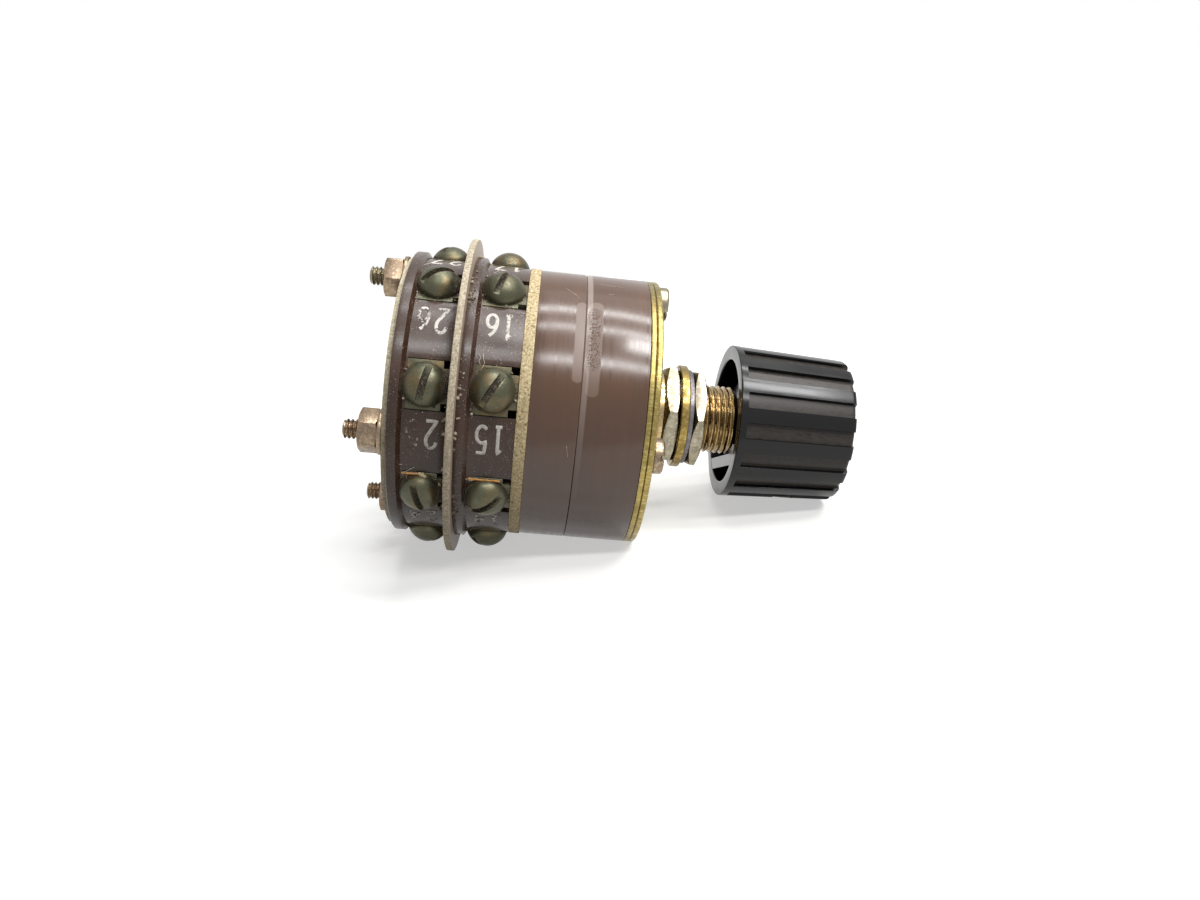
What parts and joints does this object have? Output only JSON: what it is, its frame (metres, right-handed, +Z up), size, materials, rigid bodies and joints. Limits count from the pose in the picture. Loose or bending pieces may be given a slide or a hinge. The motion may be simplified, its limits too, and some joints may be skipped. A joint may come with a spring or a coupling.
{
  "type": "wirewound rheostat",
  "caption": "Panel-mount stepped wirewound rheostat: brown moulded drum, terminal decks with screw terminals either side of a wide disc, threaded bushing, fluted black knob.",
  "frame": {"origin": "centre of the panel seat, which is the front face of the inner nut on the threaded bushing", "axes": "+X along the shaft, from the terminal decks towards the knob; +Z up through one of the four tie bolts, +Y to the left when looking at the knob"},
  "size_m": [0.0656, 0.0426, 0.0427],
  "materials": {
    "knob_phenolic": "glossy black moulded phenolic",
    "drum_phenolic": "turned brown phenolic with a satin sheen",
    "deck_phenolic": "moulded brown phenolic",
    "pale_laminate": "sawn edge of pale speckled laminate",
    "gold_laminate": "sawn edge of golden speckled laminate",
    "plate_brass": "sheared brass plate, lightly tarnished",
    "bushing_brass": "turned brass",
    "nut_plate": "nickel-plated brass, worn",
    "terminal_metal": "tarnished plated brass",
    "bolt_brass": "pinkish brass",
    "spring_steel": "plain steel",
    "shaft_steel": "turned steel",
    "rotor_laminate": "paper phenolic laminate",
    "core_ceramic": "unglazed ceramic",
    "resistance_wire": "oxidised resistance wire",
    "copper": "bare copper"
  },
  "bodies": {
    "frame": {"bushing": "bushing_brass", "inner_nut": "nut_plate", "brass_washer": "plate_brass", "lock_washer": "spring_steel", "panel_nut": "nut_plate", "outer_front_plate": "plate_brass", "inner_front_plate": "plate_brass", "index_housing": "drum_phenolic", "detent_springs": "spring_steel", "stop_pin": "spring_steel", "winding_housing": "drum_phenolic", "winding_core": "core_ceramic", "resistance_winding": "resistance_wire", "tap_leads": "copper", "spacer_ring": "gold_laminate", "front_deck": "deck_phenolic", "front_contacts": "terminal_metal", "front_terminal_screws": "terminal_metal", "front_collector": "plate_brass", "separator_disc": "pale_laminate", "rear_deck": "deck_phenolic", "rear_contacts": "terminal_metal", "rear_terminal_screws": "terminal_metal", "rear_collector": "plate_brass", "rear_disc": "pale_laminate", "rear_bearing": "bushing_brass", "tie_bolts": "bolt_brass", "tie_bolt_washers": "bolt_brass", "tie_bolt_nuts": "bolt_brass"},
    "spindle": {"knob": "knob_phenolic", "knob_set_screw": "spring_steel", "shaft": "shaft_steel", "index_wheel": "rotor_laminate", "front_rotor": "rotor_laminate", "front_wiper": "bushing_brass", "rear_rotor": "rotor_laminate", "rear_wiper": "bushing_brass"}
  },
  "joints": [
    {"name": "knob_turn", "type": "hinge", "parent": "frame", "child": "spindle", "pos_m": [0, 0, 0], "axis": [-1, 0, 0], "range_deg": [0, 315], "deforming": ["detent_springs"]}
  ]
}
